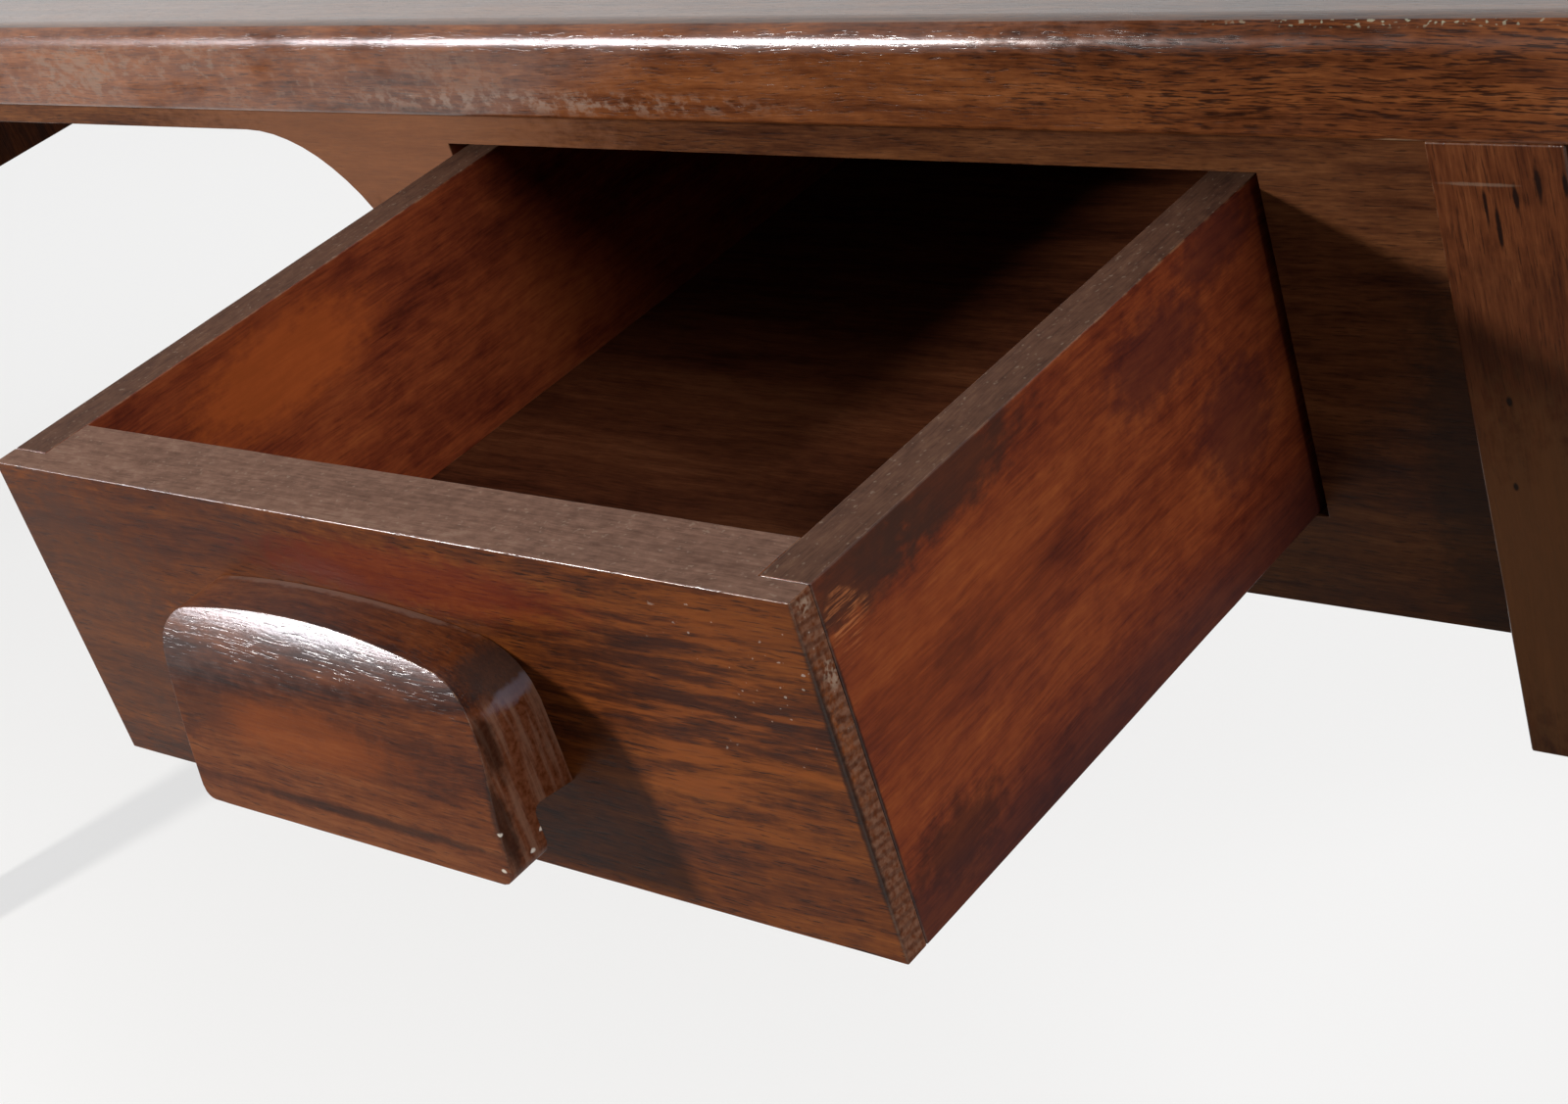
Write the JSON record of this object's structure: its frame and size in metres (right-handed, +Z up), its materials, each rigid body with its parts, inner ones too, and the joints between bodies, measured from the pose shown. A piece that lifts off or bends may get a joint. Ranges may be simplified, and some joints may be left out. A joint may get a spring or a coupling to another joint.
{
  "type": "office desk",
  "caption": "Hardwood office desk with a thick boarded top, an arched kneehole, raked legs and one drawer with a carved pull.",
  "frame": {"origin": "on the floor under the middle of the whole desk's box, with the drawer pulled out as it rests", "axes": "+X along the desk from the kneehole end to the drawer end, +Y from the front to the back, +Z up"},
  "size_m": [1.524, 1.059, 0.7575],
  "materials": {
    "top_board": "worn oil and varnish over brown hardwood",
    "frame_board": "worn satin varnish over brown hardwood",
    "drawer_front": "satin varnish over dark brown hardwood",
    "drawer_box": "satin varnish over red-brown hardwood",
    "carved_pull": "hand-polished gloss over red-brown hardwood",
    "housing_board": "bare sanded hardwood",
    "dowel_wood": "bare turned hardwood",
    "steel_fixing": "plain steel with light age"
  },
  "bodies": {
    "desk": {"apron_dowels": "dowel_wood", "button_screws": "steel_fixing", "corner_block_front_left": "housing_board", "corner_block_front_right": "housing_board", "corner_block_rear_left": "housing_board", "corner_block_rear_right": "housing_board", "drawer_guide_left": "housing_board", "drawer_guide_right": "housing_board", "drawer_kicker_left": "housing_board", "drawer_kicker_right": "housing_board", "drawer_runner_left": "housing_board", "drawer_runner_right": "housing_board", "drawer_stop_left": "housing_board", "drawer_stop_right": "housing_board", "end_rail_left": "frame_board", "end_rail_right": "frame_board", "foot_glides": "steel_fixing", "front_apron": "frame_board", "guide_pins": "steel_fixing", "kicker_screws": "steel_fixing", "kneehole_rail_screws": "steel_fixing", "leg_bolt_nuts": "steel_fixing", "leg_bolt_plugs": "frame_board", "leg_bolt_washers": "steel_fixing", "leg_bolts": "steel_fixing", "leg_front_left": "frame_board", "leg_front_right": "frame_board", "leg_rear_left": "frame_board", "leg_rear_right": "frame_board", "partition_dowels": "dowel_wood", "partition_left": "housing_board", "partition_right": "housing_board", "rear_apron": "frame_board", "runner_screws": "steel_fixing", "stop_screws": "steel_fixing", "top_board_1": "top_board", "top_board_2": "top_board", "top_board_3": "top_board", "top_board_4": "top_board", "top_buttons": "housing_board", "top_tongues": "dowel_wood"},
    "drawer": {"drawer_front": "drawer_front", "drawer_side_left": "drawer_box", "drawer_side_right": "drawer_box", "drawer_back": "drawer_front", "drawer_bottom": "drawer_box", "drawer_pull": "carved_pull", "pull_screws": "steel_fixing", "drawer_corner_dowels": "dowel_wood", "drawer_back_pins": "steel_fixing", "drawer_bottom_screws": "steel_fixing"}
  },
  "joints": [
    {"name": "drawer_slide", "type": "slide", "parent": "desk", "child": "drawer", "axis": [0, -1, 0], "range_m": [-0.2363, 0.16]}
  ]
}
